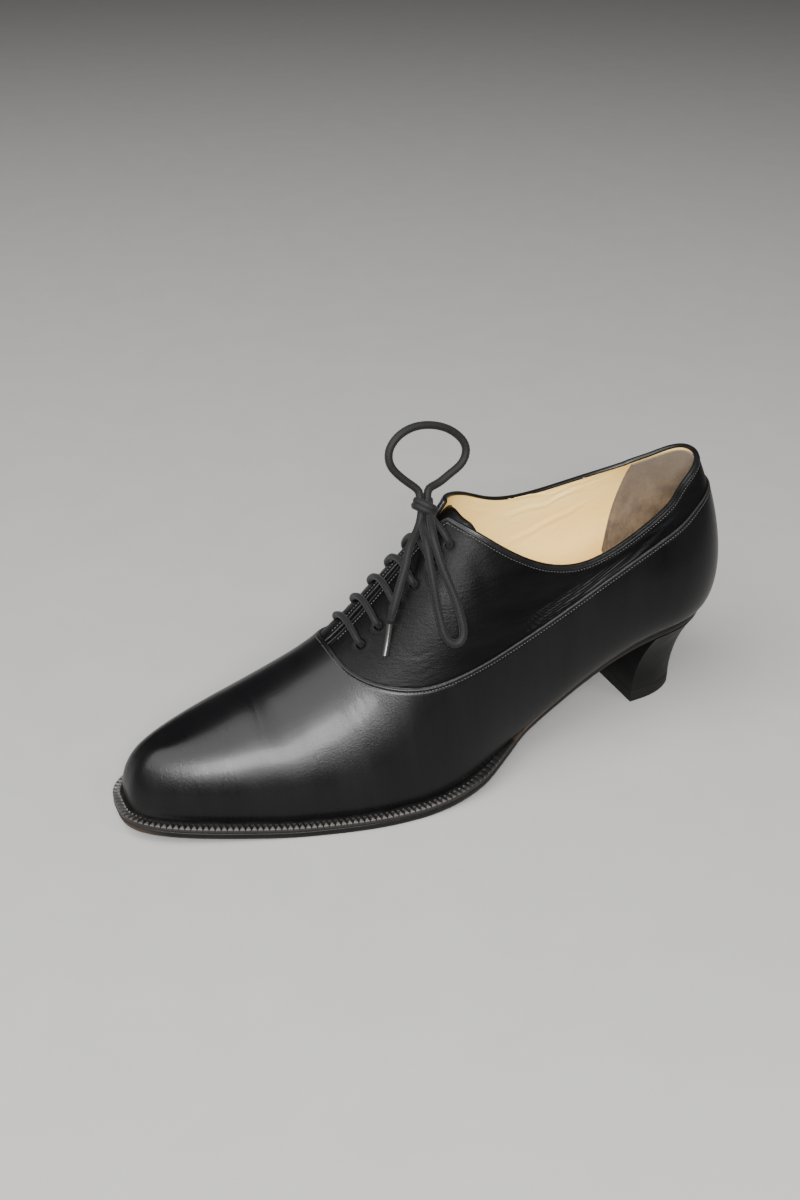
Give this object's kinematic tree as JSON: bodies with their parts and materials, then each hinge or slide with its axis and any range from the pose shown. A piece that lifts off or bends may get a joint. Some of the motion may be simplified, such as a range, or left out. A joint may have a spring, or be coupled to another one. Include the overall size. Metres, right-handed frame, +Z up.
{
  "type": "laced oxford shoe",
  "caption": "Black leather laced oxford with a block heel, closed facings, thin welted sole and a soft square toe; a left shoe that stands empty",
  "frame": {"origin": "on the floor under the middle of the shoe", "axes": "+X towards the toe, +Y to the outer side of this left shoe, +Z up"},
  "size_m": [0.2552, 0.085, 0.1335],
  "materials": {
    "upper_leather": "polished black calf, finely grained quarters",
    "tongue_leather": "soft black leather",
    "heel_leather": "black leather cover",
    "sole_leather": "blackened sole leather, worn brown at the toe",
    "heel_rubber": "matt black rubber",
    "lining_leather": "undyed tan lining leather",
    "lace_cotton": "round waxed cotton lace",
    "lace_tag": "glossy lace tag"
  },
  "bodies": {
    "root": {"outsole": "sole_leather", "welt": "sole_leather", "heel_block": "heel_leather", "top_piece": "heel_rubber", "upper": "upper_leather", "insole": "lining_leather", "tongue": "tongue_leather", "lace_bar_1": "lace_cotton", "lace_bar_2": "lace_cotton", "lace_bar_3": "lace_cotton", "lace_bar_4": "lace_cotton", "lace_bar_5": "lace_cotton", "lace_knot": "lace_cotton", "lace_strand_outer": "lace_cotton", "lace_strand_inner": "lace_cotton", "lace_loop_up": "lace_cotton", "lace_loop_down": "lace_cotton", "lace_end_outer": "lace_cotton", "lace_end_inner": "lace_cotton", "aglet_outer": "lace_tag", "aglet_inner": "lace_tag"}
  },
  "joints": []
}
